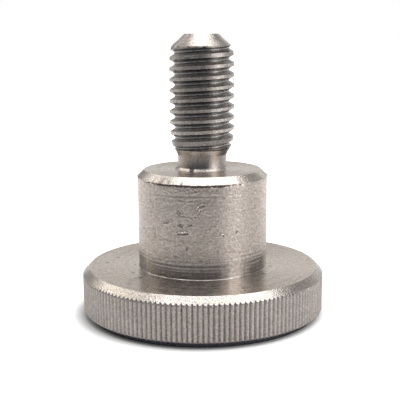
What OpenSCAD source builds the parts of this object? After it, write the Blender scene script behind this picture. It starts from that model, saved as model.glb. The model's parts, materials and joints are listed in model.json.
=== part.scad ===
// Knurled thumb screw, high type, turned in one piece.
// It stands on its head, with Z along its axis towards the thread's tip,
// and its origin at the centre of the face that it stands on.
// All sizes are in millimetres.

/* [Head] */
// Diameter of the knurled head over its crests
head_d = 30; // [24:0.5:40]
// Thickness of the knurled head
head_h = 6; // [4:0.25:10]
// Chamfer on both edges of the head, at 45 degrees
head_chamfer = 0.85; // [0.4:0.05:1.5]

/* [Knurl] */
// Pitch of the straight knurl, from crest to crest
knurl_pitch = 0.6; // [0.5:0.1:1.2]
// Depth of the knurl's grooves
knurl_depth = 0.2; // [0.1:0.05:0.2]
// Angle between the two walls of a groove
knurl_angle = 90; // [60:5:90]

/* [Collar] */
// Diameter of the collar
collar_d = 15.9; // [12:0.1:22]
// Height of the collar, from the head to the seating face
collar_h = 12; // [4:0.5:24]
// Chamfer round the seating face, at 45 degrees
collar_chamfer = 0.8; // [0.3:0.05:1.5]
// Radius that the turning tool leaves where the collar meets the head
collar_fillet = 0.1; // [0.1:0.05:1]

/* [Thread] */
// Major diameter of the thread
thread_d = 8; // [5:0.5:11]
// Length from the seating face to the tip
shank_len = 16; // [8:1:40]
// Depth of the undercut below the thread's major diameter
undercut_depth = 1; // [0.6:0.02:1.4]
// Length of the undercut, from the seating face to its shoulder
undercut_len = 1.75; // [1.3:0.05:4]
// Angle between the undercut's shoulder and the screw's axis
shoulder_angle = 30; // [25:5:60]
// Radius at the foot of the undercut
undercut_fillet = 0.4; // [0.1:0.05:0.8]
// Chamfer on the tip, at 45 degrees
tip_chamfer = 1.8; // [0.5:0.02:2]

/* [Hidden] */

$fn = 96;

head_r = head_d / 2;
collar_r = collar_d / 2;
thread_r = thread_d / 2;
undercut_r = thread_r - undercut_depth;

seat_z = head_h + collar_h;      // the seating face, at the collar's end
tip_z = seat_z + shank_len;      // the flat on the thread's tip

// The knurl has a whole number of grooves, each as wide at its mouth as its
// depth and its angle make it, and a flat crest is left between two grooves.
knurl_count = round(PI * head_d / knurl_pitch);
knurl_step = 360 / knurl_count;
groove_mouth = 2 * knurl_depth * tan(knurl_angle / 2);
mouth_half_angle = groove_mouth / 2 / head_r * 180 / PI;

steel = [0.62, 0.60, 0.58];

function polar(r, angle) = [r * cos(angle), r * sin(angle)];

// The three corners that one groove gives to the head's outline.
function groove(angle) = [
    polar(head_r, angle - mouth_half_angle),
    polar(head_r - knurl_depth, angle),
    polar(head_r, angle + mouth_half_angle)
];

// The head's outline seen along the axis, with a groove at every step. The
// first groove faces -Y, so the two sides mirror each other across the YZ plane.
module knurl_outline() {
    polygon([for (i = [0 : knurl_count - 1]) each groove(i * knurl_step - 90)]);
}

// Half the section of a round bar that stands on z = 0, for turning round the
// axis, with a 45 degree chamfer at its top and another at its foot.
module bar_section(r, top_z, top_chamfer, foot_chamfer = 0) {
    polygon([
        [0, 0],
        [r - foot_chamfer, 0],
        [r, foot_chamfer],
        [r, top_z - top_chamfer],
        [r - top_chamfer, top_z],
        [0, top_z]
    ]);
}

// The corner of material left between a bar of radius r and the face at z that
// it stands on, where the tool's nose has radius f.
module foot_section(r, z, f) {
    translate([r, z])
        difference() {
            square(f);
            translate([f, f]) circle(f);
        }
}

// The knurled disc. The chamfers are turned after the knurl is rolled, so they
// cut across its crests: the turned blank stands clear of the crests, and only
// its two cones meet them.
module knurled_head() {
    clear = knurl_depth;
    cut = head_chamfer + clear;
    intersection() {
        linear_extrude(head_h) knurl_outline();
        rotate_extrude() bar_section(head_r + clear, head_h, cut, cut);
    }
}

// The collar with its chamfered seating face.
module collar() {
    rotate_extrude() {
        bar_section(collar_r, seat_z, collar_chamfer);
        foot_section(collar_r, head_h, collar_fillet);
    }
}

// The undercut neck, its sloping shoulder, and the shank at the thread's major
// diameter with its chamfered tip.
module shank() {
    shoulder_z = seat_z + undercut_len;
    shoulder_len = undercut_depth / tan(shoulder_angle);
    rotate_extrude() {
        polygon([
            [0, 0],
            [undercut_r, 0],
            [undercut_r, shoulder_z],
            [thread_r, shoulder_z + shoulder_len],
            [thread_r, tip_z - tip_chamfer],
            [thread_r - tip_chamfer, tip_z],
            [0, tip_z]
        ]);
        foot_section(undercut_r, seat_z, undercut_fillet);
    }
}

// The whole screw, as one turned solid.
module thumb_screw() {
    color(steel)
        union() {
            knurled_head();
            collar();
            shank();
        }
}

thumb_screw();
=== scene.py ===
"""The looks of a knurled thumb screw, turned in one piece from stainless bar.

The screw stands on its head. It is modelled in millimetres, as on a lathe: a ring
of vertices is drawn up into the head, another into the collar and a third into the
shank. The thread is then cut into the shank with a helical tool, the three are
joined into one closed skin, and the skin is brought to metres.
"""

import json
import logging
import math
from collections.abc import Callable, Iterable, Iterator
from dataclasses import dataclass, field
from enum import Enum

import bmesh
import bpy
from mathutils import Euler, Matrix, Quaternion, Vector


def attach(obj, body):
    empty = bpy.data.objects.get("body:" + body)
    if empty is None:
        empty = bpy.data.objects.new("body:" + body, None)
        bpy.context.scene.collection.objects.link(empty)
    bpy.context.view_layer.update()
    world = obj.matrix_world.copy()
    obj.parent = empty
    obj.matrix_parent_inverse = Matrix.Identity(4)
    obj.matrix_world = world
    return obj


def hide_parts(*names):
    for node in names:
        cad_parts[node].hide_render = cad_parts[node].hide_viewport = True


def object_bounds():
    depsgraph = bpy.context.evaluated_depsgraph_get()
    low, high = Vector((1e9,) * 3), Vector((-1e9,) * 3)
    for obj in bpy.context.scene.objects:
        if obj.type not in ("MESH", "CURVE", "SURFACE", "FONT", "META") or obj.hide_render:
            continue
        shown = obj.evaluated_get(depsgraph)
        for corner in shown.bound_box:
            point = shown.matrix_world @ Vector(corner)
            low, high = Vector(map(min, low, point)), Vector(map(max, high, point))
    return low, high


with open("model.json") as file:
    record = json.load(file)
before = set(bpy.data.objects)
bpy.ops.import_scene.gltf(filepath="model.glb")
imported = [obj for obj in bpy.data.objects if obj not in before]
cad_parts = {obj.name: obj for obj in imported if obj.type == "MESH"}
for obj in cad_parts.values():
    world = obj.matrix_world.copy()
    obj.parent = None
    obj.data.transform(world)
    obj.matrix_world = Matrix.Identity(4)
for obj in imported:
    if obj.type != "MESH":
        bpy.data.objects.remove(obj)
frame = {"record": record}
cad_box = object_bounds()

LOG = logging.getLogger("thumb_screw")

MM = 0.001
AXIS = (0.0, 0.0, 0.0)
SMOOTH_ANGLE = math.radians(25)

# How near a vertex has to be to count as standing at a height or on a radius.
NEAR = 0.001

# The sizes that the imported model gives, in millimetres. The skin is kept a hair
# inside them. No mount stands on the collar's wall, so its radius is given here.
HAIR = 0.001
MOUNTS = {mount["name"]: mount for mount in frame["record"]["mounts"]}
HEAD_RADIUS = cad_box[1][0] / MM - HAIR
SEAT_Z = MOUNTS["seating_face"]["pos_m"][2] / MM
TIP_Z = cad_box[1][2] / MM - HAIR
THREAD_RADIUS = MOUNTS["thread"]["dims"]["r_mm"]
COLLAR_RADIUS = 7.95

Point = tuple[float, float, float]
VertexTest = Callable[[Vector], bool]
EdgeTest = Callable[[bmesh.types.BMEdge, float, float], bool]
ZoneRule = Callable[[Vector, Vector], "Zone"]
Socket = bpy.types.NodeSocket


# ---------------------------------------------------------------- bench work


def clear_selection() -> None:
    """Leaves edit mode and selects nothing."""
    if bpy.context.object and bpy.context.object.mode != "OBJECT":
        bpy.ops.object.mode_set(mode="OBJECT")
    bpy.ops.object.select_all(action="DESELECT")


def activate(*works: bpy.types.Object) -> None:
    """Selects these works and nothing else.

    Args:
        *works: The works, with the one that becomes active first.
    """
    clear_selection()
    for work in works:
        work.select_set(True)
    bpy.context.view_layer.objects.active = works[0]


def radius_of(place: Vector) -> float:
    """Gives a place's distance from the screw's axis."""
    return math.hypot(place.x, place.y)


def azimuth_of(place: Vector) -> float:
    """Gives a place's degrees round the axis, 0 at the front and positive to the right."""
    return math.degrees(math.atan2(place.x, -place.y))


class Bench:
    """One mesh on the bench, shaped in edit mode round the Z axis."""

    def __init__(self, name: str) -> None:
        """Takes the active object as the work.

        Args:
            name: The name that the work gets.
        """
        self.work = bpy.context.object
        self.work.name = name
        self.work.data.name = name

    @classmethod
    def ring(cls, name: str, count: int, radius: float, z: float) -> "Bench":
        """Starts a work from a ring of vertices.

        Args:
            name: The work's name.
            count: The number of vertices.
            radius: The ring's radius.
            z: The ring's height.

        Returns:
            The bench, in edit mode with the ring selected.
        """
        clear_selection()
        bpy.ops.mesh.primitive_circle_add(
            vertices=count, radius=radius, fill_type="NOTHING", location=(0, 0, z)
        )
        bpy.ops.object.transform_apply(location=True, rotation=True, scale=True)
        bench = cls(name)
        bench.edit()
        bpy.ops.mesh.select_all(action="SELECT")
        return bench

    def edit(self) -> None:
        """Opens the work in edit mode, with vertices to pick."""
        activate(self.work)
        bpy.ops.object.mode_set(mode="EDIT")
        bpy.ops.mesh.select_mode(type="VERT")

    def close(self) -> bpy.types.Object:
        """Leaves edit mode and gives the work back."""
        bpy.ops.object.mode_set(mode="OBJECT")
        return self.work

    def _mesh(self) -> bmesh.types.BMesh:
        """Gives the mesh that is open in edit mode."""
        return bmesh.from_edit_mesh(self.work.data)

    def pick(self, wanted: VertexTest) -> int:
        """Selects the vertices that stand where the test wants them, and no others.

        Args:
            wanted: The test on a vertex's place.

        Returns:
            How many vertices are selected.
        """
        bpy.ops.mesh.select_mode(type="VERT")
        bpy.ops.mesh.select_all(action="DESELECT")
        mesh = self._mesh()
        for vertex in mesh.verts:
            vertex.select_set(wanted(vertex.co))
        mesh.select_flush_mode()
        bmesh.update_edit_mesh(self.work.data)
        return sum(vertex.select for vertex in mesh.verts)

    def pick_ring(self, z: float, radius: float) -> None:
        """Selects the ring of vertices at one height and one radius."""
        self.pick(lambda at: abs(at.z - z) < NEAR and abs(radius_of(at) - radius) < NEAR)

    def pick_edges(self, wanted: EdgeTest) -> None:
        """Selects the edges that the test wants, and no others.

        Args:
            wanted: The test on an edge and on the heights of its lower and upper end.
        """
        bpy.ops.mesh.select_mode(type="EDGE")
        bpy.ops.mesh.select_all(action="DESELECT")
        mesh = self._mesh()
        for edge in mesh.edges:
            if wanted(edge, *sorted(vertex.co.z for vertex in edge.verts)):
                edge.select_set(True)
        bmesh.update_edit_mesh(self.work.data)

    def pick_rims(self, low: float = -math.inf, high: float = math.inf) -> None:
        """Selects the open edges whose middles lie between two heights."""
        self.pick_edges(lambda rim, foot, head: rim.is_boundary and low <= (foot + head) / 2 <= high)

    def extrude(self, up: float = 0.0) -> None:
        """Extrudes what is selected and moves it up."""
        bpy.ops.mesh.extrude_region_move(TRANSFORM_OT_translate={"value": (0, 0, up)})

    def move(self, by: Point) -> None:
        """Moves what is selected."""
        bpy.ops.transform.translate(value=by)

    def scale(self, factor: float) -> None:
        """Scales what is selected towards the axis."""
        bpy.ops.transform.resize(value=(factor, factor, 1), center_override=AXIS)

    def flatten(self, z: float) -> None:
        """Brings what is selected to one height."""
        bpy.ops.transform.resize(value=(1, 1, 0), center_override=(0, 0, z))

    def push(self, by: Point, reach: float) -> None:
        """Pushes what is selected, and its neighbours less.

        Args:
            by: How far, and which way.
            reach: How far the push is felt.
        """
        bpy.ops.transform.translate(
            value=by,
            use_proportional_edit=True,
            proportional_edit_falloff="SMOOTH",
            proportional_size=reach,
        )

    def draw_up(self, outline: Iterable[tuple[float, float]]) -> None:
        """Draws the selected ring through an outline, one extrusion for each corner.

        Args:
            outline: The ring's own radius and height first, then each corner's.
        """
        corners = list(outline)
        for (radius, z), (next_radius, next_z) in zip(corners, corners[1:]):
            self.extrude(next_z - z)
            self.scale(next_radius / radius)

    def cut_rows(self, low: float, high: float, rows: int) -> None:
        """Divides the upright edges between two heights, so that the wall has rows.

        Args:
            low: The wall's lower end.
            high: The wall's upper end.
            rows: The number of rows that it gets.
        """
        least = (high - low) / 2
        self.pick_edges(
            lambda edge, foot, head: head - foot > least and foot > low - NEAR and head < high + NEAR
        )
        bpy.ops.mesh.subdivide(number_cuts=rows - 1)
        bpy.ops.mesh.select_mode(type="VERT")

    def refine(self, wanted: VertexTest, cuts: int) -> None:
        """Divides the faces whose corners the test wants more finely."""
        self.pick(wanted)
        bpy.ops.mesh.subdivide(number_cuts=cuts)

    def roughen(self, offset: float, seed: int) -> None:
        """Moves what is selected a little, each vertex at random."""
        bpy.ops.transform.vertex_random(offset=offset, uniform=0.0, seed=seed)

    def face_outwards(self) -> None:
        """Turns every face of the work outwards."""
        self.pick(lambda at: True)
        bpy.ops.mesh.normals_make_consistent(inside=False)

    def close_cap(self) -> None:
        """Closes the selected ring with a fan that meets in its middle."""
        self.extrude()
        bpy.ops.mesh.merge(type="CENTER")

    def fill_between(self) -> None:
        """Fills the flat between the two selected rings with faces."""
        bpy.ops.mesh.fill(use_beauty=True)


def join(works: list[bpy.types.Object], name: str) -> Bench:
    """Joins works into one mesh.

    Args:
        works: The works, the first of which takes the others in.
        name: The name of the whole.

    Returns:
        The bench with the whole on it, in edit mode.
    """
    activate(*works)
    bpy.ops.object.join()
    bench = Bench(name)
    bench.edit()
    return bench


def apply_modifier(work: bpy.types.Object, modifier: bpy.types.Modifier) -> None:
    """Applies a modifier for good, with only its own work selected."""
    activate(work)
    bpy.ops.object.modifier_apply(modifier=modifier.name)


# ------------------------------------------------------------------ finishes


class Graph:
    """A node tree that is wired up with one short call for each node."""

    def __init__(self, tree: bpy.types.NodeTree) -> None:
        """Takes the tree to wire."""
        self.tree = tree

    def node(
        self, kind: str, inputs: dict[str | int, object] | None = None, **settings: object
    ) -> bpy.types.Node:
        """Adds a node.

        Args:
            kind: The node's type.
            inputs: What each input gets, a socket to link or a value.
            **settings: The node's own properties.

        Returns:
            The node.
        """
        made = self.tree.nodes.new(kind)
        for name, value in settings.items():
            setattr(made, name, value)
        return self._fill(made, inputs or {})

    def _fill(self, made: bpy.types.Node, inputs: dict[str | int, object]) -> bpy.types.Node:
        """Feeds a node's inputs.

        Args:
            made: The node.
            inputs: What each input gets, by its name or its place in the row.

        Returns:
            The node.
        """
        for name, value in inputs.items():
            self.feed(made.inputs[name], value)
        return made

    def feed(self, target: Socket, value: object) -> None:
        """Links a socket to an input, or sets the input to a value.

        Args:
            target: The input.
            value: The socket or the value. A colour may leave its alpha out.
        """
        if isinstance(value, bpy.types.NodeSocket):
            self.tree.links.new(value, target)
        elif isinstance(value, tuple) and target.type == "RGBA" and len(value) == 3:
            target.default_value = (*value, 1.0)
        else:
            target.default_value = value

    def split(self, vector: Socket) -> bpy.types.bpy_prop_collection:
        """Adds a Separate XYZ node and gives its three numbers."""
        return self.node("ShaderNodeSeparateXYZ", {0: vector}).outputs

    def combine(self, x: Socket, y: Socket, z: object = 0.0) -> Socket:
        """Adds a Combine XYZ node and gives its vector."""
        return self.node("ShaderNodeCombineXYZ", {0: x, 1: y, 2: z}).outputs[0]

    def vector(self, operation: str, **inputs: object) -> Socket:
        """Adds a Vector Math node and gives its result.

        Args:
            operation: What the node does.
            **inputs: Its inputs, called a, b, c and scale.

        Returns:
            The vector, or the number where the operation gives one.
        """
        sockets = {"a": 0, "b": 1, "c": 2, "scale": "Scale"}
        fed = {sockets[name]: value for name, value in inputs.items()}
        made = self.node("ShaderNodeVectorMath", fed, operation=operation)
        return made.outputs["Value" if operation == "LENGTH" else "Vector"]

    def radius(self, place: Socket) -> tuple[Socket, Socket, Socket]:
        """Gives a place's distance from the Z axis.

        Args:
            place: The place.

        Returns:
            The distance, the place's flat vector and its height.
        """
        x, y, z = self.split(place)
        flat = self.combine(x, y)
        return self.vector("LENGTH", a=flat), flat, z

    def math(self, operation: str, a: object, b: object = 0.0, clamp: bool = False) -> Socket:
        """Adds a Math node and gives its result."""
        made = self.node("ShaderNodeMath", {0: a, 1: b}, operation=operation, use_clamp=clamp)
        return made.outputs[0]

    def step(self, value: Socket, edge: Socket, steepness: float) -> Socket:
        """Gives 0 below an edge and 1 above it, with a slope between them."""
        above = self.math("SUBTRACT", value, edge)
        return self.math("MULTIPLY", above, steepness, clamp=True)

    def blend(self, share: object, a: object, b: object, mode: str = "MIX") -> Socket:
        """Adds a colour Mix node and gives its result."""
        made = self.node("ShaderNodeMix", data_type="RGBA", blend_type=mode)
        return self._fill(made, {0: share, 6: a, 7: b}).outputs[2]

    def span(
        self, value: object, low: float, high: float, first: float = 0.0, last: float = 1.0
    ) -> Socket:
        """Adds a clamped Map Range node and gives its result."""
        limits = {"From Min": low, "From Max": high, "To Min": first, "To Max": last}
        return self.node("ShaderNodeMapRange", {"Value": value, **limits}, clamp=True).outputs[0]

    def noise(
        self, vector: Socket, scale: object, detail: float = 2.0, roughness: object = 0.5
    ) -> Socket:
        """Adds a Noise Texture node and gives its value."""
        texture = {"Vector": vector, "Scale": scale, "Detail": detail, "Roughness": roughness}
        return self.node("ShaderNodeTexNoise", texture).outputs[0]


class EffectGroup(Graph):
    """A shader node group with named inputs and outputs, open for wiring."""

    def __init__(self, name: str, inputs: dict[str, float], *outputs: str) -> None:
        """Makes the empty group.

        Args:
            name: The group's name.
            inputs: Each input's value when nothing is linked. Vector is one more.
            *outputs: Each output's name.
        """
        super().__init__(bpy.data.node_groups.new(name, "ShaderNodeTree"))
        sockets = self.tree.interface
        sockets.new_socket("Vector", in_out="INPUT", socket_type="NodeSocketVector")
        for socket, value in inputs.items():
            made = sockets.new_socket(socket, in_out="INPUT", socket_type="NodeSocketFloat")
            made.default_value = value
        for socket in outputs:
            sockets.new_socket(socket, in_out="OUTPUT", socket_type="NodeSocketFloat")
        self.given = self.node("NodeGroupInput").outputs
        self.sink = self.node("NodeGroupOutput")

    def close(self, **results: Socket) -> bpy.types.NodeTree:
        """Links the group's outputs and gives the group's tree."""
        self._fill(self.sink, results)
        return self.tree


class Effects:
    """The node groups that the steel's finishes share, each built once.

    All of them take a place on the piece in millimetres.
    """

    def __init__(self) -> None:
        """Builds the groups."""
        self.turning = self._turning_marks()
        self.grain = self._grain()
        self.pits = self._pits()
        self.stains = self._stains()
        self.scratches = self._scratches()
        self.grime_and_shade = self._groove_grime_and_shade()
        self.burnish = self._burnish()

    @staticmethod
    def _unroll(graph: EffectGroup) -> Socket:
        """Unrolls a turned surface, so that a noise on it runs in rings.

        The rings are counted along the outline, by twice the radius plus the
        height, so that flat faces, walls and chamfers all have them.

        Args:
            graph: The group, with inputs for the marks' spacing and for how often
                they start and end on the way round.

        Returns:
            The unrolled place.
        """
        ins = graph.given
        radius, flat, height = graph.radius(ins["Vector"])
        along = graph.math("ADD", graph.math("MULTIPLY", radius, 2.0), height)
        around = graph.vector("NORMALIZE", a=flat)
        turned = graph.split(graph.vector("SCALE", a=around, scale=ins["Reach"]))
        rings = graph.math("DIVIDE", along, ins["Spacing"])
        return graph.combine(turned[0], turned[1], rings)

    @classmethod
    def _turning_marks(cls) -> bpy.types.NodeTree:
        """Builds the fine rings that a lathe tool leaves.

        Each mark runs a part of the way round and then fades.

        Returns:
            The group.
        """
        spaces = {"Spacing": 0.1, "Reach": 1.5, "Sharpness": 0.55}
        graph = EffectGroup("turning_marks", spaces, "Height", "Bands")
        ins = graph.given
        fine = cls._unroll(graph)
        marks = graph.noise(fine, 1.0, 3.0, ins["Sharpness"])
        wide = graph.vector("MULTIPLY", a=fine, b=(0.6, 0.6, 0.13))
        bands = graph.noise(wide, 1.0, 2.0)
        return graph.close(Height=marks, Bands=graph.span(bands, 0.3, 0.7))

    @classmethod
    def _scratches(cls) -> bpy.types.NodeTree:
        """Builds thin scratches that run a short way round.

        Returns:
            The group.
        """
        spaces = {"Spacing": 0.3, "Reach": 4.0, "Share": 0.1}
        graph = EffectGroup("ring_scratches", spaces, "Mask")
        lines = graph.noise(cls._unroll(graph), 1.0, 1.0)
        edge = graph.math("SUBTRACT", 0.78, graph.given["Share"])
        return graph.close(Mask=graph.step(lines, edge, 14.0))

    @staticmethod
    def _grain() -> bpy.types.NodeTree:
        """Builds the fine speckle and the soft mottle of handled steel.

        Returns:
            The group.
        """
        graph = EffectGroup("steel_grain", {"Size": 0.2}, "Speckle", "Mottle")
        ins = graph.given
        scale = graph.math("DIVIDE", 1.0, ins["Size"])
        speckle = graph.noise(ins["Vector"], scale, 2.0, 0.6)
        mottle = graph.noise(ins["Vector"], graph.math("MULTIPLY", scale, 0.22), 3.0, 0.6)
        speckle, mottle = graph.span(speckle, 0.25, 0.75), graph.span(mottle, 0.3, 0.7)
        return graph.close(Speckle=speckle, Mottle=mottle)

    @staticmethod
    def _pits() -> bpy.types.NodeTree:
        """Builds small ragged pits, which stand in some cells and not in others.

        Returns:
            The group.
        """
        sizes = {"Spacing": 1.2, "Share": 0.4, "Width": 0.12, "Flatten": 1.0}
        graph = EffectGroup("steel_pits", sizes, "Mask")
        ins = graph.given
        texture = {"Vector": ins["Vector"], "Scale": 3.0, "Detail": 1.0}
        ragged = graph.node("ShaderNodeTexNoise", texture).outputs["Color"]
        strayed = graph.vector("MULTIPLY_ADD", a=ragged, b=(0.3, 0.3, 0.15), c=ins["Vector"])
        parts = graph.split(strayed)
        height = graph.math("MULTIPLY", parts[2], ins["Flatten"])
        place = graph.combine(parts[0], parts[1], height)
        cells = graph.node(
            "ShaderNodeTexVoronoi",
            {"Vector": place, "Scale": graph.math("DIVIDE", 1.0, ins["Spacing"])},
            feature="F1",
        )
        tints = graph.node("ShaderNodeSeparateColor", {0: cells.outputs["Color"]}).outputs
        chosen = graph.math("LESS_THAN", tints[0], ins["Share"])
        width = graph.math("MULTIPLY", ins["Width"], graph.math("ADD", tints[1], 0.4))
        away = graph.math("DIVIDE", cells.outputs["Distance"], width)
        depth = graph.math("SUBTRACT", 1.0, away, clamp=True)
        return graph.close(Mask=graph.math("MULTIPLY", chosen, depth))

    @staticmethod
    def _stains() -> bpy.types.NodeTree:
        """Builds the uneven stains that old oil leaves.

        Returns:
            The group.
        """
        graph = EffectGroup("oil_stains", {"Size": 4.0, "Share": 0.45}, "Mask")
        ins = graph.given
        scale = graph.math("DIVIDE", 1.0, ins["Size"])
        broad = graph.noise(ins["Vector"], scale, 2.0, 0.5)
        broken = graph.noise(ins["Vector"], graph.math("MULTIPLY", scale, 7.0), 3.0, 0.65)
        broad, broken = graph.math("MULTIPLY", broad, 0.65), graph.math("MULTIPLY", broken, 0.35)
        both = graph.math("ADD", broad, broken)
        edge = graph.math("SUBTRACT", 1.0, ins["Share"])
        return graph.close(Mask=graph.step(both, edge, 8.0))

    @staticmethod
    def _groove_grime_and_shade() -> bpy.types.NodeTree:
        """Builds the dirt and painted shade that darken the steel below a surface's own radius.

        It lies in grooves, in dents and under burrs, and it is patchy.

        Returns:
            The group.
        """
        graph = EffectGroup("groove_grime_and_painted_shade", {"Rim": 0.0, "Depth": 0.1}, "Mask")
        ins = graph.given
        radius, _, _ = graph.radius(ins["Vector"])
        below = graph.math("SUBTRACT", ins["Rim"], radius)
        sunk = graph.math("DIVIDE", below, ins["Depth"], clamp=True)
        patches = graph.span(graph.noise(ins["Vector"], 2.5, 3.0, 0.65), 0.3, 0.7, 0.55, 1.0)
        return graph.close(Mask=graph.math("MULTIPLY", sunk, patches))

    @staticmethod
    def _burnish() -> bpy.types.NodeTree:
        """Builds the smoother band that the tool leaves below one height.

        Its edge is uneven and breaks up into thin rings.

        Returns:
            The group.
        """
        graph = EffectGroup("burnished_band", {"Top": 0.0, "Softness": 1.2}, "Mask")
        ins = graph.given
        height = graph.split(ins["Vector"])[2]
        rings = graph.vector("MULTIPLY", a=ins["Vector"], b=(0.12, 0.12, 5.0))
        uneven = graph.span(graph.noise(rings, 1.0, 3.0, 0.6), 0.3, 0.7, -0.3, 0.3)
        below = graph.math("SUBTRACT", ins["Top"], graph.math("ADD", height, uneven))
        return graph.close(Mask=graph.math("DIVIDE", below, ins["Softness"], clamp=True))


# Every finish's pits and scratches have these depths, in millimetres. Scratches
# are tinted alike, and stains and the dirt and painted shade in recesses dull the
# steel by the same roughness. Every dark mark, painted shade too, darkens towards one cool black.
PIT_DEPTH = 0.03
SCRATCH_DEPTH = 0.008
SCRATCH_TINT = 0.2
DULLING = 0.12
COOL_GRIME_AND_SHADE = (0.9, 0.95, 1.0)


@dataclass(frozen=True)
class SteelFinish:
    """One finish of the bare steel, as the tool or the roller left it.

    Sizes are in millimetres. A tint is how much an effect darkens the steel, and
    a share is how much of the surface it takes.

    Attributes:
        name: The material's name.
        colour: The steel's colour, seen straight on.
        roughness: How far a reflection is blurred.
        stretch: How much more it is blurred across the marks than along them.
        spacing: From one turning mark to the next.
        reach: How often the marks start and end on the way round.
        mark_depth: The marks' relief.
        streak_tint: Of the short streaks.
        grain_size: Across a speckle.
        grain_depth: The speckle's relief.
        grain_tint: Of the speckle.
        pit_share: Of the cells that have a pit.
        pit_width: From a pit's middle to its edge.
        pit_flatness: How much wider than high a pit is.
        pit_tint: Of a pit.
        scratch_share: Of the scratches.
        stain_share: Of the stains.
        stain_tint: Of a stain.
        grime_and_shade_rim: Radius below which dirt and painted shade darken the steel.
        grime_and_shade_depth: How far below it the dirt and painted shade are full.
        grime_and_shade_tint: Of the dirt and painted shade.
        burnish_top: Height below which the steel is burnished.
        burnish_roughness: How far a reflection is blurred there.
        burnish_tint: Of the burnished band.
    """

    name: str
    colour: tuple[float, float, float] = (0.64, 0.57, 0.53)
    roughness: float = 0.3
    stretch: float = 0.7
    spacing: float = 0.1
    reach: float = 1.5
    mark_depth: float = 0.002
    streak_tint: float = 0.1
    grain_size: float = 0.2
    grain_depth: float = 0.002
    grain_tint: float = 0.12
    pit_share: float = 0.2
    pit_width: float = 0.12
    pit_flatness: float = 1.0
    pit_tint: float = 0.5
    scratch_share: float = 0.0
    stain_share: float = 0.3
    stain_tint: float = 0.25
    grime_and_shade_rim: float = 0.0
    grime_and_shade_depth: float = 0.1
    grime_and_shade_tint: float = 0.6
    burnish_top: float = -1.0
    burnish_roughness: float = 0.25
    burnish_tint: float = 0.0

    def material(self, effects: Effects) -> bpy.types.Material:
        """Makes the finish's material.

        Args:
            effects: The node groups that the finishes share.

        Returns:
            The material.
        """
        made = bpy.data.materials.new(self.name)
        made.use_nodes = True
        graph = Graph(made.node_tree)
        shader = made.node_tree.nodes["Principled BSDF"]

        place = graph.node("ShaderNodeTexCoord").outputs["Object"]
        to_mm = {"Vector": place, "Scale": (1 / MM,) * 3}
        in_mm = graph.node("ShaderNodeMapping", to_mm).outputs[0]

        def effect(tree: bpy.types.NodeTree, **values: float) -> bpy.types.bpy_prop_collection:
            """Places a shared group with this finish's own values."""
            return graph.node("ShaderNodeGroup", {"Vector": in_mm, **values}, node_tree=tree).outputs

        turning = effect(effects.turning, Spacing=self.spacing, Reach=self.reach)
        streaks = effect(effects.turning, Spacing=self.spacing * 1.5, Reach=self.reach * 8)["Height"]
        grain = effect(effects.grain, Size=self.grain_size)
        pit_sizes = {"Share": self.pit_share, "Width": self.pit_width, "Flatten": self.pit_flatness}
        pits = effect(effects.pits, **pit_sizes)["Mask"]
        stains = effect(effects.stains, Share=self.stain_share)["Mask"]
        scratches = effect(effects.scratches, Share=self.scratch_share)["Mask"]
        grime_and_shade = effect(effects.grime_and_shade, Rim=self.grime_and_shade_rim, Depth=self.grime_and_shade_depth)["Mask"]
        burnish = effect(effects.burnish, Top=self.burnish_top)["Mask"]
        rough = graph.math("SUBTRACT", 1.0, burnish)

        def toned(colour: object, height: Socket, tint: float) -> Socket:
            """Lightens a colour where a height is above its middle, and darkens it below."""
            tone = graph.span(height, 0.2, 0.8, 1 - tint, 1 + tint)
            return graph.blend(1.0, colour, tone, "MULTIPLY")

        def darkened(colour: Socket, mask: Socket, tint: float) -> Socket:
            """Darkens a colour towards the cool black of old dirt and of painted shade."""
            dark = tuple(channel * (1 - tint) for channel in COOL_GRIME_AND_SHADE)
            return graph.blend(mask, colour, graph.blend(1.0, colour, dark, "MULTIPLY"))

        colour = toned(self.colour, grain["Speckle"], self.grain_tint)
        colour = toned(colour, streaks, self.streak_tint)
        colour = darkened(colour, stains, self.stain_tint)
        colour = darkened(colour, graph.math("MULTIPLY", scratches, rough), SCRATCH_TINT)
        colour = darkened(colour, burnish, self.burnish_tint)
        # Dirt and painted shade: grooves, dents and the line under a burr are painted darker.
        colour = darkened(colour, grime_and_shade, self.grime_and_shade_tint)
        graph.feed(shader.inputs["Base Color"], darkened(colour, pits, self.pit_tint))

        shine = graph.span(turning["Bands"], 0.0, 1.0, self.roughness * 0.85, self.roughness * 1.15)
        worn = graph.math("ADD", shine, graph.math("MULTIPLY", grain["Mottle"], self.roughness * 0.3))
        smoothing = {0: burnish, 2: worn, 3: self.burnish_roughness}
        smoothed = graph.node("ShaderNodeMix", smoothing).outputs[0]
        dirt = graph.math("MULTIPLY", graph.math("MAXIMUM", stains, grime_and_shade), DULLING)
        graph.feed(shader.inputs["Roughness"], graph.math("ADD", smoothed, dirt))

        marks = graph.math("MULTIPLY", turning["Height"], self.mark_depth * MM)
        grains = graph.math("MULTIPLY", grain["Speckle"], self.grain_depth * MM)
        raised = graph.math("ADD", marks, graph.math("MULTIPLY", grains, rough))
        cut = graph.math("SUBTRACT", raised, graph.math("MULTIPLY", scratches, SCRATCH_DEPTH * MM))
        sunk = graph.math("SUBTRACT", cut, graph.math("MULTIPLY", pits, PIT_DEPTH * MM))
        bump = graph.node("ShaderNodeBump", {"Height": sunk, "Distance": 1.0, "Strength": 1.0})
        graph.feed(shader.inputs["Normal"], bump.outputs[0])

        tangent = graph.node("ShaderNodeTangent", direction_type="RADIAL", axis="Z")
        graph.feed(shader.inputs["Tangent"], tangent.outputs[0])
        shader.inputs["Metallic"].default_value = 1.0
        shader.inputs["Anisotropic"].default_value = self.stretch
        shader.inputs["Anisotropic Rotation"].default_value = 0.25
        return made


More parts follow.
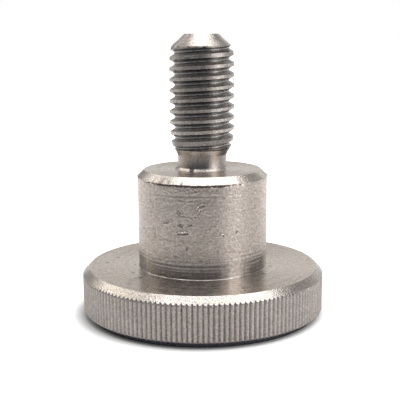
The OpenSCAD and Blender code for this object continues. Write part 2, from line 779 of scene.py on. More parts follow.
class Zone(Enum):
    """The surfaces of the screw, each with a finish of its own."""

    FACE = SteelFinish(
        "steel_faced", colour=(0.645, 0.56, 0.485), roughness=0.25, stretch=0.75, spacing=0.09,
        mark_depth=0.0008, grain_size=0.22, grain_depth=0.0016, grain_tint=0.26, streak_tint=0.06,
        pit_share=0.12, pit_width=0.28, pit_tint=0.8, stain_share=0.42, stain_tint=0.2,
    )
    SIDE = SteelFinish(
        "steel_turned", colour=(0.72, 0.635, 0.575), roughness=0.28, stretch=0.6, spacing=0.11,
        mark_depth=0.004, grain_size=0.24, grain_depth=0.024, grain_tint=0.2, streak_tint=0.3,
        pit_share=0.14, pit_flatness=1.6, scratch_share=0.06,
        grime_and_shade_rim=COLLAR_RADIUS - 0.06, grime_and_shade_depth=0.08, grime_and_shade_tint=0.4,
        burnish_top=8.65, burnish_roughness=0.2, burnish_tint=0.13,
    )
    CHAMFER = SteelFinish(
        "steel_chamfered", colour=(0.74, 0.67, 0.61), roughness=0.23, stretch=0.5, spacing=0.08,
        grain_size=0.18, grain_depth=0.015, grain_tint=0.22, streak_tint=0.06,
    )
    KNURL = SteelFinish(
        "steel_rolled", colour=(0.7, 0.625, 0.575), roughness=0.33, stretch=0.2, spacing=0.4,
        mark_depth=0.001, grain_size=0.22, grain_depth=0.01, grain_tint=0.2, streak_tint=0.05,
        grime_and_shade_rim=HEAD_RADIUS - 0.02, grime_and_shade_tint=0.2,
    )
    NECK = SteelFinish(
        "steel_undercut", roughness=0.29, spacing=0.08,
        grain_depth=0.004, grain_tint=0.16, streak_tint=0.14,
    )
    # Painted shade: coloured darker than the crests' steel, for the shade in the thread's grooves; the
    # shoulder shares it.
    FLANK = SteelFinish(
        "steel_threaded", colour=(0.45, 0.43, 0.418), roughness=0.18, stretch=0.2, spacing=0.12,
        mark_depth=0.001, grain_depth=0.004, grain_tint=0.24, streak_tint=0.12,
    )
    # Oil and painted shade: darker still, for the upward flanks deep in the grooves and for the last
    # crests by the neck.
    OILY = SteelFinish(
        "steel_oily_and_painted_shade", colour=(0.35, 0.32, 0.3), roughness=0.18, stretch=0.3, spacing=0.12,
        mark_depth=0.001, grain_depth=0.006, grain_tint=0.3, streak_tint=0.12,
    )
    CREST = SteelFinish(
        "steel_thread_crest", colour=(0.675, 0.61, 0.56), stretch=0.4, spacing=0.12,
        mark_depth=0.003, grain_depth=0.024, grain_tint=0.3, streak_tint=0.12,
    )
    # Dirt and painted shade: near black for the sunk line under the collar's burr, the line under the
    # tip's cone, the run-out of the last groove and an arc at the neck's foot.
    GRIME = SteelFinish(
        "steel_grimy_and_painted_shade", colour=(0.16, 0.155, 0.16), roughness=0.4, stretch=0.2, grain_tint=0.4,
    )


class Dresser:
    """Gives the faces of a work their finishes."""

    def __init__(self) -> None:
        """Makes every finish's material once."""
        effects = Effects()
        self.materials = {zone: zone.value.material(effects) for zone in Zone}

    def dress(self, work: bpy.types.Object, zone_of: ZoneRule) -> None:
        """Dresses a work face by face.

        Args:
            work: The work, in object mode.
            zone_of: Gives a face's zone from its middle and its normal.
        """
        work.data.materials.clear()
        slots: dict[Zone, int] = {}
        for face in work.data.polygons:
            zone = zone_of(face.center, face.normal)
            if zone not in slots:
                slots[zone] = len(slots)
                work.data.materials.append(self.materials[zone])
            face.material_index = slots[zone]


# ---------------------------------------------------------- the screw's parts


class Part:
    """A part of the screw, which is turned by itself and then dressed."""

    def build(self) -> bpy.types.Object:
        """Makes the part's mesh."""
        raise NotImplementedError

    def zone_of(self, middle: Vector, normal: Vector) -> Zone:
        """Gives a face's zone from its middle and its normal."""
        raise NotImplementedError

    def dress(self, work: bpy.types.Object, dresser: Dresser) -> None:
        """Gives the part's faces their finishes."""
        dresser.dress(work, self.zone_of)


@dataclass
class KnurledHead(Part):
    """The knurled disc, open at its top where the collar stands on it.

    Attributes:
        radius: Over the crests.
        height: From the face that it stands on to its top face.
        chamfer: The legs of the chamfers on both edges.
        teeth: Grooves round the head. The first faces the front.
        groove_depth: From a crest to the root between two.
        crest_drop: How far a crest's two corners lie below its middle.
        rows: Rows of faces up the knurled wall.
        notch: How far the wall is sunk in a thin line under the upper chamfer.
        unevenness: How unevenly the roller pressed the crests.
    """

    radius: float = HEAD_RADIUS
    height: float = 6.0
    chamfer: float = 0.85
    teeth: int = 157
    groove_depth: float = 0.2
    crest_drop: float = 0.012
    rows: int = 10
    notch: float = 0.045
    unevenness: float = 0.012

    @property
    def depths(self) -> tuple[float, ...]:
        """How deep each column of a tooth lies, from the root round to the next."""
        flank, corner, crest = self.groove_depth / 2, self.crest_drop, 0.0
        return (self.groove_depth, flank, corner, crest, corner, flank)

    def _columns(self, bench: Bench, wanted: VertexTest) -> Iterator[float]:
        """Picks each column of the teeth in turn.

        Args:
            bench: The bench with the head.
            wanted: The test on the vertices of the columns.

        Yields:
            The picked column's depth.
        """
        for column, depth in enumerate(self.depths):
            bench.pick(lambda at: wanted(at) and self._column(at) == column)
            yield depth

    def _column(self, place: Vector) -> int:
        """Gives the column of a tooth that a place stands on."""
        step = 360 / (self.teeth * len(self.depths))
        return round(azimuth_of(place) / step) % len(self.depths)

    def build(self) -> bpy.types.Object:
        """Draws the head up from a ring round its middle.

        Returns:
            The head, with an open ring at the foot of the collar.
        """
        low, high = self.chamfer, self.height - self.chamfer
        bench = Bench.ring("head", self.teeth * len(self.depths), self.radius, low)
        self._roll_knurl(bench)
        bench.pick(lambda at: True)
        bench.extrude(high - low)
        for end, outward in ((low, -1), (high, 1)):
            self._turn_chamfer(bench, end, outward)
        self._cap(bench)
        bench.cut_rows(low - self.groove_depth, high + self.groove_depth, self.rows)
        self._press_unevenly(bench)
        self._notch(bench, high)
        return bench.close()

    def _roll_knurl(self, bench: Bench) -> None:
        """Sinks the ring's columns to the depths of the knurl."""
        for depth in self._columns(bench, lambda at: True):
            bench.scale(1 - depth / self.radius)

    def _turn_chamfer(self, bench: Bench, end: float, outward: int) -> None:
        """Turns one chamfer across the teeth.

        The cone cuts a groove's root farther from the middle than a crest, so
        the wall's edge runs in a zigzag, and the rim beyond it is a circle.

        Args:
            bench: The bench with the head's wall.
            end: The height at which the cone meets the crests.
            outward: 1 at the top of the head and -1 at its foot.
        """
        for depth in self._columns(bench, lambda at: abs(at.z - end) < NEAR):
            bench.move((0, 0, outward * depth))
        reach = self.groove_depth + NEAR
        bench.pick(lambda at: abs(at.z - end) < reach)
        bench.extrude()
        rim_z = end + outward * self.chamfer
        bench.flatten(rim_z)
        for depth in self._columns(bench, lambda at: abs(at.z - rim_z) < NEAR):
            bench.scale((self.radius - self.chamfer) / (self.radius - depth))

    def _cap(self, bench: Bench) -> None:
        """Faces off the foot of the head, thinning out the ring towards its middle.

        Args:
            bench: The bench with the head's wall.
        """
        rim = self.radius - self.chamfer
        bench.pick_ring(0.0, rim)
        bench.extrude()
        bench.scale((rim - 1.5) / rim)
        bench.extrude()
        bench.scale(0.5)
        bench.close_cap()

    def _press_unevenly(self, bench: Bench) -> None:
        """Gives the crests the slightly uneven height of a rolled knurl.

        Args:
            bench: The bench with the head's wall.
        """
        low, high = self.chamfer + 0.1, self.height - self.chamfer - 0.1
        inner = self.radius - self.crest_drop - NEAR
        bench.pick(lambda at: low < at.z < high and radius_of(at) > inner)
        bench.scale(1 - self.unevenness / self.radius)
        bench.roughen(self.unevenness, seed=11)

    def _notch(self, bench: Bench, edge: float) -> None:
        """Sinks a thin ragged line where the chamfering tool broke off the crests.

        Args:
            bench: The bench with the head's wall.
            edge: The height at which the chamfer meets the crests.
        """
        bench.cut_rows(edge - 0.44, edge + self.groove_depth, 4)
        row = (edge - self.chamfer) / self.rows / 4

        def in_notch(at: Vector) -> bool:
            """Tells the first row of vertices under the chamfer's zigzag edge.

            Args:
                at: A vertex's place.

            Returns:
                Whether the vertex is in that row.
            """
            below = edge + self.depths[self._column(at)] - at.z
            on_wall = radius_of(at) > self.radius - self.groove_depth * 1.5
            return on_wall and row / 2 < below < row * 1.5

        bench.pick(in_notch)
        bench.scale(1 - self.notch / self.radius)
        bench.roughen(self.notch / 2, seed=3)

    def zone_of(self, middle: Vector, normal: Vector) -> Zone:
        """Tells the flats, the chamfers and the wall apart by which way they face."""
        sloping = Zone.CHAMFER if abs(normal.z) > 0.4 else Zone.KNURL
        return Zone.FACE if abs(normal.z) > 0.95 else sloping


@dataclass(frozen=True)
class Dent:
    """A dent that a knock has left in the collar.

    Attributes:
        azimuth: Degrees round from the front, positive to the right.
        z: Height of its middle.
        length: Millimetres along it.
        width: Millimetres across it.
        depth: Millimetres from the surface to its floor.
        slant: Degrees by which its right end is raised.
        lip: Millimetres by which the metal is thrown up along its upper edge.
    """

    azimuth: float
    z: float
    length: float
    width: float
    depth: float
    slant: float = 0.0
    lip: float = 0.1


@dataclass
class Collar(Part):
    """The plain collar, open at its foot and where the shank stands on it.

    Attributes:
        radius: Of its wall.
        foot_z: Height of the head's top face.
        seat_z: Height of the seating face.
        chamfer: The legs of the chamfer round the seating face.
        fillet: The radius that the tool's nose leaves at the foot.
        land: How far the flat round the fillet belongs to the collar.
        burr: How far the burr under the chamfer stands out.
        burr_shadow: How far the wall is sunk in the thin line under the burr.
        shallow: How far that line is sunk all the way round.
        line_drops: How far below the chamfer the burr's foot, the line's upper and
            lower edge and the plain wall lie.
        grime_and_shade_drop: How far below the chamfer the dirt and painted shade in that line reach.
        burr_arcs: From where to where round the wall that line is sunk, in degrees,
            once for each half of its depth.
        segments: Faces round the wall.
        rows: Rows of faces up the wall.
        dents: The dents in the wall.
        tool_marks: Height and depth of the deeper rings that the tool left.
    """

    radius: float = COLLAR_RADIUS
    foot_z: float = 6.0
    seat_z: float = SEAT_Z
    chamfer: float = 0.8
    fillet: float = 0.1
    land: float = 0.25
    burr: float = 0.03
    burr_shadow: float = 0.12
    shallow: float = 0.005
    line_drops: tuple[float, ...] = (0.03, 0.07, 0.21, 0.29)
    grime_and_shade_drop: float = 0.26
    burr_arcs: tuple[tuple[float, float], ...] = ((-56.0, 36.0), (-42.0, 20.0))
    segments: int = 320
    rows: int = 76
    dents: tuple[Dent, ...] = (
        Dent(azimuth=-0.9, z=14.8, length=0.8, width=0.3, depth=0.09, slant=18),
        Dent(azimuth=-5.9, z=16.55, length=0.6, width=0.24, depth=0.09, slant=-25),
        Dent(azimuth=-32.2, z=12.7, length=0.8, width=0.24, depth=0.06, slant=8, lip=0.07),
        Dent(azimuth=-18.8, z=12.4, length=0.75, width=0.2, depth=0.045, slant=-28, lip=0.05),
        Dent(azimuth=-10.1, z=12.6, length=0.6, width=0.22, depth=0.04, slant=20, lip=0.09),
        Dent(azimuth=-17.0, z=11.5, length=1.5, width=0.28, depth=0.07, slant=8),
        Dent(azimuth=-14.0, z=9.65, length=0.34, width=0.32, depth=0.14, lip=0.0),
        Dent(azimuth=16.8, z=11.25, length=0.6, width=0.22, depth=0.07, slant=5),
        Dent(azimuth=31.0, z=11.45, length=0.6, width=0.2, depth=0.03, slant=50, lip=0.1),
        Dent(azimuth=-3.0, z=14.1, length=0.9, width=0.2, depth=0.04, slant=60, lip=0.06),
        Dent(azimuth=-20.5, z=13.9, length=0.8, width=0.2, depth=0.04, slant=-50, lip=0.06),
        Dent(azimuth=-45.0, z=11.0, length=0.7, width=0.2, depth=0.04, slant=75, lip=0.06),
    )
    tool_marks: tuple[tuple[float, float], ...] = (
        (9.15, 0.02), (8.75, 0.024), (8.35, 0.03), (7.9, 0.028), (7.45, 0.026), (7.05, 0.024),
        (6.7, 0.02), (15.9, 0.03), (15.45, 0.018), (13.6, 0.014), (10.7, 0.016),
    )

    @property
    def _edge_z(self) -> float:
        """Height of the chamfer's lower edge."""
        return self.seat_z - self.chamfer

    def build(self) -> bpy.types.Object:
        """Draws the collar up from its foot.

        Returns:
            The collar, with open rings at both ends.
        """
        bench = Bench.ring("collar", self.segments, self.radius + self.land, self.foot_z)
        wall_foot = self.foot_z + self.fillet
        lip, roof, floor, wall_top = (self._edge_z - drop for drop in self.line_drops)
        bench.draw_up(
            [
                (self.radius + self.land, self.foot_z),
                *self._fillet_outline(),
                (self.radius, wall_top),
                (self.radius - self.shallow, floor),
                (self.radius - self.shallow, roof),
                (self.radius, lip),
                (self.radius + self.burr, self._edge_z),
            ]
        )
        bench.draw_up(
            [
                (self.radius + self.burr, self._edge_z),
                (self.radius, self._edge_z + self.burr),
                (self.radius - self.chamfer, self.seat_z),
            ]
        )
        bench.cut_rows(wall_foot, wall_top, self.rows)
        self._mark(bench)
        self._fray_burr(bench, floor, roof)
        for dent in self.dents:
            self._knock(bench, dent)
        return bench.close()

    def _fillet_outline(self, steps: int = 5) -> list[tuple[float, float]]:
        """Gives the corners of the fillet at the foot.

        Args:
            steps: Facets round the fillet.

        Returns:
            Each corner's radius and height, from the face up to the wall.
        """
        turns = [math.pi / 2 * step / steps for step in range(steps + 1)]
        centre_r, centre_z = self.radius + self.fillet, self.foot_z + self.fillet
        return [
            (centre_r - self.fillet * math.sin(turn), centre_z - self.fillet * math.cos(turn))
            for turn in turns
        ]

    def _mark(self, bench: Bench) -> None:
        """Sinks the deeper rings that the tool left in the wall.

        Args:
            bench: The bench with the wall.
        """
        for z, depth in self.tool_marks:
            half_row = (self._edge_z - self.foot_z) / self.rows / 2
            bench.pick(lambda at: abs(at.z - z) < half_row)
            bench.scale(1 - depth / self.radius)

    def _fray_burr(self, bench: Bench, floor: float, roof: float) -> None:
        """Breaks up the burr under the chamfer, and the sunk line below it.

        Args:
            bench: The bench with the wall.
            floor: The height of the sunk line's lower edge.
            roof: The height of its upper edge.
        """
        def in_line(at: Vector) -> bool:
            """Tells the vertices of the sunk line."""
            return floor - NEAR < at.z < roof + NEAR

        for first, last in self.burr_arcs:
            bench.pick(lambda at: in_line(at) and first < azimuth_of(at) < last)
            bench.scale(1 - self.burr_shadow / 2 / self.radius)
        bench.pick(in_line)
        bench.roughen(self.burr_shadow * 0.5, seed=8)
        bench.pick(lambda at: abs(at.z - self._edge_z) < NEAR)
        bench.roughen(self.burr * 2.6, seed=5)

    def _knock(self, bench: Bench, dent: Dent) -> None:
        """Knocks one dent into the wall, with the rim that it throws up.

        Args:
            bench: The bench with the wall.
            dent: The dent.
        """
        turn, slant = math.radians(dent.azimuth), math.radians(dent.slant)
        out = Vector((math.sin(turn), -math.cos(turn), 0))
        right = Vector((math.cos(turn), math.sin(turn), 0))
        middle = out * self.radius + Vector((0, 0, dent.z))

        def across(at: Vector) -> tuple[float, float]:
            """Gives a place's distances along and across the dent.

            Args:
                at: The place.

            Returns:
                Both distances, from the dent's middle.
            """
            flat = at - middle
            u, w = flat.dot(right), flat.z
            return (
                u * math.cos(slant) + w * math.sin(slant),
                w * math.cos(slant) - u * math.sin(slant),
            )

        def near(at: Vector, half_length: float, half_width: float, aside: float = 0.0) -> bool:
            """Tells whether a place lies near a line that runs along the dent."""
            u, w = across(at)
            return at.dot(out) > 0 and abs(u) < half_length and abs(w - aside) < half_width

        margin = dent.width * 1.3 + 0.1
        bench.refine(lambda at: near(at, dent.length / 2 + margin, margin), 2)
        spine = max(dent.length / 2 - dent.width / 2, 0.03)
        if not bench.pick(lambda at: near(at, spine, 0.04)):
            LOG.warning("no vertex stands under the dent at %s degrees", dent.azimuth)
            return
        bench.push(tuple(out * dent.depth * 0.3), dent.width * 1.3)
        bench.push(tuple(-out * dent.depth * 1.3), dent.width * 0.6)
        lip = dent.width * 0.5
        if bench.pick(lambda at: near(at, spine, 0.03, lip)):
            bench.push(tuple(out * dent.lip), 0.11)

    def zone_of(self, middle: Vector, normal: Vector) -> Zone:
        """Tells the chamfer, the line under it that is painted near black as dirt and shade, and the wall
        apart.

        Args:
            middle: The face's middle.
            normal: The face's normal, which is not used here.

        Returns:
            The face's zone.
        """
        if middle.z > self._edge_z:
            return Zone.CHAMFER
        if middle.z < self.foot_z + NEAR:
            return Zone.FACE
        sunk = self.radius - radius_of(middle)
        # Dirt and painted shade: the sunk line under the burr is painted near black.
        in_line = middle.z > self._edge_z - self.grime_and_shade_drop and sunk > self.burr_shadow * 0.6
        return Zone.GRIME if in_line else Zone.SIDE


@dataclass
class Shank(Part):
    """The undercut neck and the threaded shank, open at the seating face.

    Attributes:
        seat_z: Height of the seating face.
        tip_z: Height of the flat on the tip.
        neck_radius: Of the undercut.
        crest_radius: Of the thread's crests.
        foot: The legs of the slope at the foot of the undercut.
        seam: From where to where up the shoulder the last groove runs out.
        darkened_arc: From where to where round that slope it is painted near black, in degrees.
        segments: Faces round the blank.
        pitch: From one thread to the next.
        crest_flat: Width of a crest, before its corners are broken.
        crest_round: How far down the flanks the corners are broken.
        root_radius: The rounding of the thread's root.
        groove_start: Height of the first groove's middle, to the right of the axis.
        shoulder_foot: Height at which the neck's finish ends.
        oil_and_shade_top: Height up to which the crests take the oily, painted-shade finish.
        crest_foot: Radius beyond which a face belongs to a crest.
        tip_groove: Width of the line under the tip's cone that is painted near black, as dirt and shade.
        turns: Turns of the helical tool.
        steps: Steps of the tool in one turn.
    """

    seat_z: float = SEAT_Z
    tip_z: float = TIP_Z
    neck_radius: float = 2.985
    crest_radius: float = THREAD_RADIUS - 0.02
    foot: float = 0.36
    seam: tuple[float, float] = (20.5, 20.66)
    darkened_arc: tuple[float, float] = (-28.0, -18.5)
    segments: int = 192
    pitch: float = 1.25
    crest_flat: float = 0.28
    crest_round: float = 0.03
    root_radius: float = 0.147
    groove_start: float = 18.673
    shoulder_foot: float = 19.8
    oil_and_shade_top: float = 21.9
    crest_foot: float = 3.45
    tip_groove: float = 0.18
    turns: int = 12
    steps: int = 96

    @property
    def outline(self) -> list[tuple[float, float]]:
        """The blank's outline, before threading.

        Returns:
            Each corner's radius and height, from the seating face to the tip.
        """
        neck, seat, foot = self.neck_radius, self.seat_z, self.foot
        slope = [(neck + foot, seat), (neck + foot * 0.9, seat + 0.02), (neck + 0.02, seat + foot * 0.9)]
        wall = [(neck, seat + foot * 1.05), (neck, 19.72)]
        low, high = self.seam
        rim = [(3.03, 19.84), (3.395, low), (3.35, low + 0.04), (3.39, high - 0.04), (3.488, high)]
        shoulder = [*rim, (3.65, 20.95), (3.77, 21.4), (3.85, 21.95), (3.89, 22.58)]
        body = [(3.92, 23.2), (3.92, 28.5), (3.87, 30.9), (3.8, 31.9), (3.67, 32.42)]
        step = [(3.61, 32.46), (3.61, 32.56), (3.66, 32.62)]
        return [*slope, *wall, *shoulder, *body, *step, (2.69, 33.4), (2.06, self.tip_z)]

    def _blank_radius(self, z: float) -> float:
        """Gives the blank's radius at one height.

        Args:
            z: The height.

        Returns:
            The radius, or 0 beyond the blank's ends.
        """
        for (low_radius, low), (high_radius, high) in zip(self.outline, self.outline[1:]):
            if low <= z <= high:
                return low_radius + (high_radius - low_radius) * (z - low) / (high - low)
        return 0.0

    def build(self) -> bpy.types.Object:
        """Turns the blank and threads it.

        Returns:
            The shank, with an open ring at the seating face.
        """
        blank = self._turn_blank()
        tool = self._thread_tool()
        self._cut(blank, tool)
        activate(blank)
        bench = Bench("shank")
        bench.edit()
        self._open_foot(bench)
        return bench.close()

    def _turn_blank(self) -> bpy.types.Object:
        """Draws the blank up from its foot.

        Returns:
            The blank, closed at both ends.
        """
        outline = self.outline
        bench = Bench.ring("shank", self.segments, *outline[0])
        bench.draw_up(outline)
        bench.close_cap()
        bench.pick(lambda at: 32.45 < at.z < 32.6)
        bench.roughen(0.05, seed=2)
        bench.pick_ring(self.seat_z, outline[0][0])
        bpy.ops.mesh.edge_face_add()
        bench.face_outwards()
        return bench.close()

    def _groove_section(self) -> list[tuple[float, float]]:
        """Gives the corners of the threading tool's edge.

        Returns:
            Radius and height of each corner, the height from the groove's middle.
        """
        half_mouth = (self.pitch - self.crest_flat) / 2
        flank = math.radians(30)
        apex = self.crest_radius - half_mouth / math.tan(flank)
        centre = apex + self.root_radius / math.sin(flank)
        root = [
            (centre - self.root_radius * math.cos(turn), self.root_radius * math.sin(turn))
            for turn in (math.radians(60) * step / 3 for step in range(-3, 4))
        ]
        corner = self.crest_radius - self.crest_round
        half_corner = half_mouth - self.crest_round * math.tan(flank)
        lead, half_lead = self.crest_radius + 0.01, half_corner + self.crest_round + 0.01
        outer = self.crest_radius + 0.4
        flank_foot, flank_head = Vector(root[-1]), Vector((corner, half_corner))
        supports = [tuple(flank_foot.lerp(flank_head, share)) for share in (0.06, 0.94)]
        upper = [*supports, (corner, half_corner), (lead, half_lead), (outer, half_lead)]
        lower = [(radius, -z) for radius, z in reversed(upper)]
        return [*lower, *root, *upper]

    def _thread_tool(self) -> bpy.types.Object:
        """Winds the threading tool's edge into a closed helical solid.

        Returns:
            The tool.
        """
        section = self._groove_section()
        bench = Bench.ring("threading_tool", len(section), 1.0, 0.0)
        mesh = bmesh.from_edit_mesh(bench.work.data)
        ring = sorted(mesh.verts, key=lambda vertex: vertex.index)
        for vertex, (radius, z) in zip(ring, section):
            vertex.co = (radius, 0, self.groove_start + z)
        bmesh.update_edit_mesh(bench.work.data)
        tool = bench.close()
        wind = tool.modifiers.new("wind", "SCREW")
        wind.axis, wind.angle, wind.screw_offset = "Z", math.tau, self.pitch
        wind.iterations, wind.steps, wind.render_steps = self.turns, self.steps, self.steps
        apply_modifier(tool, wind)
        bench.edit()
        bench.pick_rims()
        bpy.ops.mesh.fill_holes(sides=0)
        bench.face_outwards()
        return bench.close()

    def _cut(self, blank: bpy.types.Object, tool: bpy.types.Object) -> None:
        """Cuts the thread into the blank, and puts the tool away.

        Args:
            blank: The closed blank.
            tool: The helical tool.
        """
        cut = blank.modifiers.new("thread", "BOOLEAN")
        cut.operation, cut.solver, cut.object = "DIFFERENCE", "EXACT", tool
        apply_modifier(blank, cut)
        bpy.data.objects.remove(tool)

    def _open_foot(self, bench: Bench) -> None:
        """Takes the blank's foot off, where it stands on the collar."""
        bench.pick(lambda at: abs(at.z - self.seat_z) < NEAR)
        bpy.ops.mesh.delete(type="ONLY_FACE")

    def zone_of(self, middle: Vector, normal: Vector) -> Zone:
        """Tells the neck, the thread and the tip apart.

        Args:
            middle: The face's middle.
            normal: The face's normal.

        Returns:
            The face's zone.
        """
        tip_foot = self.outline[-3][1]
        low, high = self.seam
        if middle.z > self.tip_z - 0.01:
            return Zone.FACE
        if middle.z < self.shoulder_foot:
            if middle.z > self.seat_z + self.foot:
                return Zone.NECK
            # An arc of the slope is painted near black.
            first, last = self.darkened_arc
            return Zone.GRIME if first < azimuth_of(middle) < last else Zone.CHAMFER
        radius = radius_of(middle)
        # Dirt and painted shade: the line under the tip's cone and the downward faces of the last
        # groove's run-out are painted near black.
        under_tip = tip_foot - self.tip_groove < middle.z < tip_foot and 3.5 < radius < 3.6
        if under_tip or low < middle.z < high and normal.z < 0.5:
            return Zone.GRIME
        on_blank = abs(radius - self._blank_radius(middle.z)) < 0.04
        if on_blank and middle.z > tip_foot:
            return Zone.CHAMFER
        if on_blank and middle.z < low:
            return Zone.FLANK
        on_crest = radius > self.crest_foot
        # Oil and painted shade: upward faces and the last crests are painted darker.
        if normal.z > 0.8 or high < middle.z < self.oil_and_shade_top and on_crest:
            return Zone.OILY
        return Zone.CREST if abs(normal.z) < 0.8 and on_crest else Zone.FLANK


@dataclass
class ThumbScrew:
    """The whole screw, joined from its head, its collar and its shank.

    Attributes:
        head: The knurled head.
        collar: The collar.
        shank: The neck and the thread.
    """

    head: KnurledHead = field(default_factory=KnurledHead)
    collar: Collar = field(default_factory=Collar)
    shank: Shank = field(default_factory=Shank)

    def build(self, dresser: Dresser) -> bpy.types.Object:
        """Builds the three parts and joins them into one closed skin.

        Args:
            dresser: Gives each part its finishes.

        Returns:
            The screw, in metres.
        """
        works = []
        for part in (self.head, self.collar, self.shank):
            work = part.build()
            part.dress(work, dresser)
            works.append(work)
            LOG.info("%s: %d faces", work.name, len(work.data.polygons))
        bench = join(works, "thumb_screw_steel")
        for z in (self.head.height, self.collar.seat_z):
            bench.pick_rims(z - NEAR, z + NEAR)
            bench.fill_between()
            self._face_off(bench, dresser)
        bench.face_outwards()
        piece = bench.close()
        activate(piece)
        piece.scale = (MM, MM, MM)
        bpy.ops.object.transform_apply(location=True, rotation=True, scale=True)
        bpy.ops.object.shade_smooth_by_angle(angle=SMOOTH_ANGLE)
        self._register(piece)
        return piece

    @staticmethod
    def _face_off(bench: Bench, dresser: Dresser) -> None:
        """Gives the new ring of faces, which is still selected, the faced finish.

        Args:
            bench: The bench with the whole screw.
            dresser: Holds the finishes.
        """
        slots = bench.work.data.materials
        bench.work.active_material_index = slots.find(dresser.materials[Zone.FACE].name)
        bpy.ops.object.material_slot_assign()

    @staticmethod
    def _register(piece: bpy.types.Object) -> None:
        """Attaches the piece to the root body and hides the imported part that it stands for.

        Args:
            piece: The finished piece.
        """
        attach(piece, "root")
        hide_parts("thumb_screw")


# -------------------------------------------------------------------- studio


@dataclass(frozen=True)
class Softbox:
    """A rectangular soft light, which is seen only by the steel and the floor.

    Attributes:
        name: The light's name.
        place: Its middle, in metres.
        aim: The point that it faces.
        size: Its width and its height, in metres.
        radiance: How bright its face is, where 1 is white.
        colour: Its colour.
        roll: Degrees by which it is turned about the line to what it faces.
    """

    name: str
    place: Point
    aim: Point
    size: tuple[float, float]
    radiance: float
    colour: tuple[float, float, float] = (1.0, 1.0, 1.0)
    roll: float = 0.0

    def build(self) -> None:
        """Hangs the light."""
        clear_selection()
        bpy.ops.object.light_add(type="AREA", location=self.place)
        made = bpy.context.object
        made.name = self.name
        facing = (Vector(self.aim) - Vector(self.place)).to_track_quat("-Z", "Y")
        made.rotation_euler = (facing @ Quaternion((0, 0, 1), math.radians(self.roll))).to_euler()
        lamp = made.data
        lamp.shape = "RECTANGLE"
        lamp.size, lamp.size_y = self.size
        lamp.energy = self.radiance * math.pi * self.size[0] * self.size[1]
        lamp.color = self.colour
        made.visible_camera = False


@dataclass(frozen=True)
class Camera:
    """The camera, which stands in front of the screw and looks a little down.

    Attributes:
        place: Where it stands, in metres.
        pitch: Degrees by which it looks down.
        roll: Degrees by which it is turned about its line of sight.
        lens: Its focal length, in millimetres on a 36 mm frame.
        shift: How far the frame is slid sideways and up, in frame widths.
    """

    place: Point = (0.0, -0.10259, 0.03344)
    pitch: float = 13.86
    roll: float = -0.3
    lens: float = 75.795
    shift: tuple[float, float] = (-0.0066, 0.1162)

    def build(self) -> None:
        """Sets the camera up."""
        clear_selection()
        bpy.ops.object.camera_add(location=self.place)
        made = bpy.context.object
        made.name = "camera"
        level = Euler((math.radians(90 - self.pitch), 0, 0)).to_quaternion()
        made.rotation_euler = (level @ Quaternion((0, 0, 1), math.radians(self.roll))).to_euler()
        made.data.lens = self.lens
        made.data.sensor_width = 36.0
        made.data.shift_x, made.data.shift_y = self.shift
        made.data.clip_start, made.data.clip_end = 0.005, 20.0
        bpy.context.scene.camera = made


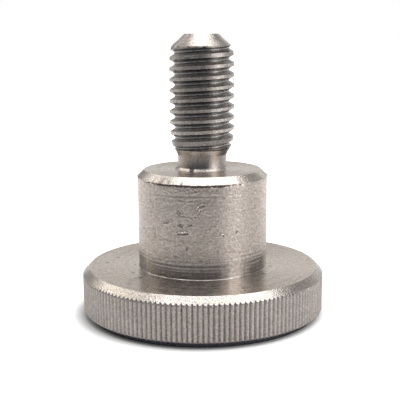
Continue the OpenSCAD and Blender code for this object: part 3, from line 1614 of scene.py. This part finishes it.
@dataclass
class Studio:
    """The pale floor, the soft lights and the room round the screw.

    Attributes:
        floor_size: Metres across the floor.
        floor_near: How much light the floor gives back to the steel, near the screw.
        floor_far: How much it gives back well in front of the screw.
        floor_fade: Where, in metres in front of the axis, one gives way to the other.
        floor_behind: How much more it gives back well behind the screw.
        behind_fade: Where, in metres behind the axis, that starts and is full.
        painted_contact_shade: How dark the floor is painted right under the head's rim, a painted shade
            that the steel reflects.
        painted_contact_shade_edge: Where, in metres from the axis, that painted shade ends.
        shadow_shown: How dark the floor shows there.
        shadow_edge: Where, in metres from the axis, that ends.
        shadow_slide: How far it is slid, in metres, with the signs turned round.
        floor_shown: How pale the floor shows by the screw, and far from it.
        floor_clear: Where, in metres from the axis, one gives way to the other.
        sky: How bright the room is on the floor.
        room_front: How bright the room is in front of the screw, as the steel sees it.
        room_back: How bright it is behind the screw.
        softboxes: The lights.
    """

    floor_size: float = 12.0
    floor_near: float = 0.62
    floor_far: float = 0.08
    floor_fade: tuple[float, float] = (0.05, 0.15)
    floor_behind: float = 0.4
    behind_fade: tuple[float, float] = (0.02, 0.07)
    painted_contact_shade: tuple[float, float, float] = (0.19, 0.21, 0.28)
    painted_contact_shade_edge: tuple[float, float] = (0.0149, 0.0165)
    shadow_shown: float = 0.35
    shadow_edge: tuple[float, float] = (0.0142, 0.016)
    shadow_slide: Point = (0.0006, 0.0, 0.0)
    floor_shown: tuple[float, float] = (1.45, 3.0)
    floor_clear: tuple[float, float] = (0.03, 0.25)
    sky: float = 0.5
    room_front: tuple[float, float, float] = (0.05, 0.06, 0.08)
    room_back: tuple[float, float, float] = (0.3, 0.3, 0.3)
    softboxes: tuple[Softbox, ...] = (
        Softbox("softbox_above", (0.0875, -0.0375, 0.5), (0.0875, -0.0375, 0.0), (0.745, 0.325), 2.2),
        Softbox("softbox_right", (0.39, -0.225, 0.12), (0.0, 0.0, 0.02), (0.2, 0.3), 1.2),
        Softbox("card_right", (0.43, -0.23, 0.12), (0.0, 0.0, 0.02), (0.55, 0.3), 0.6),
        Softbox(
            "card_left", (-0.43, 0.17, 0.42), (0.0, 0.0, 0.02), (0.42, 0.16), 1.5, (1.0, 0.96, 0.88), 40.0
        ),
        Softbox("card_back_left", (-0.33, 0.36, 0.34), (0.0, 0.0, 0.02), (0.3, 0.25), 0.3),
        Softbox("card_behind", (0.145, 0.6, 0.19), (0.0, 0.0, 0.02), (0.6, 0.24), 0.48),
    )

    def build(self) -> None:
        """Lays the floor, hangs the lights and sets the room's brightness."""
        self._lay_floor()
        for softbox in self.softboxes:
            softbox.build()
        self._light_room()
        bpy.context.scene.view_settings.view_transform = "Standard"

    def _lay_floor(self) -> bpy.types.Object:
        """Lays the floor, which shows paler than the light that it gives the steel.

        Returns:
            The floor.
        """
        clear_selection()
        bpy.ops.mesh.primitive_plane_add(size=self.floor_size, location=AXIS)
        floor = bpy.context.object
        floor.name = "floor"
        paper = bpy.data.materials.new("white_paper")
        paper.use_nodes = True
        graph = Graph(paper.node_tree)
        seen = graph.node("ShaderNodeLightPath").outputs["Is Camera Ray"]
        shader = paper.node_tree.nodes["Principled BSDF"]
        place = graph.node("ShaderNodeTexCoord").outputs["Object"]
        ahead = graph.split(place)[1]
        start, end = self.floor_fade
        before = graph.span(ahead, -end, -start, self.floor_far, self.floor_near)
        given = graph.math("ADD", before, graph.span(ahead, *self.behind_fade, 0.0, self.floor_behind))
        away = graph.vector("LENGTH", a=place)
        from_shadow = graph.vector("LENGTH", a=graph.vector("ADD", a=place, b=self.shadow_slide))
        shown = graph.span(away, *self.floor_clear, *self.floor_shown)
        # Painted shade and painted shadow: the floor is painted dark under the head's rim for the steel
        # to reflect, and with a shadow round the head for the eye.
        painted_shade_under_rim = graph.blend(graph.span(away, *self.painted_contact_shade_edge), self.painted_contact_shade, (1.0, 1.0, 1.0))
        shadow = graph.span(from_shadow, *self.shadow_edge, self.shadow_shown, 1.0)
        to_steel = graph.blend(1.0, given, painted_shade_under_rim, "MULTIPLY")
        to_eye = graph.math("MULTIPLY", shown, shadow)
        graph.feed(shader.inputs["Base Color"], graph.blend(seen, to_steel, to_eye))
        shader.inputs["Roughness"].default_value = 0.9
        shader.inputs["Specular IOR Level"].default_value = 0.0
        floor.data.materials.append(paper)
        return floor

    def _light_room(self) -> None:
        """Sets how bright the room is for the eye, for the steel and for the floor."""
        world = bpy.data.worlds.new("studio_room")
        bpy.context.scene.world = world
        world.use_nodes = True
        graph = Graph(world.node_tree)
        background = world.node_tree.nodes["Background"]
        path = graph.node("ShaderNodeLightPath").outputs
        direction = graph.node("ShaderNodeTexCoord").outputs["Generated"]
        backward = graph.split(direction)[1]
        room = graph.blend(graph.span(backward, -0.35, 0.35), self.room_front, self.room_back)
        seen = graph.blend(path["Is Glossy Ray"], (self.sky,) * 3, room)
        shown = graph.blend(path["Is Camera Ray"], seen, (1.0, 1.0, 1.0))
        graph.feed(background.inputs["Color"], shown)


def main() -> None:
    """Builds the camera, the screw and the studio, and reports each."""
    logging.basicConfig(level=logging.INFO, format="%(name)s: %(message)s")
    Camera().build()
    LOG.info("camera set up")
    piece = ThumbScrew().build(Dresser())
    LOG.info("%s: %d faces in all", piece.name, len(piece.data.polygons))
    Studio().build()
    LOG.info("studio lit")


if __name__ == "__main__":
    main()
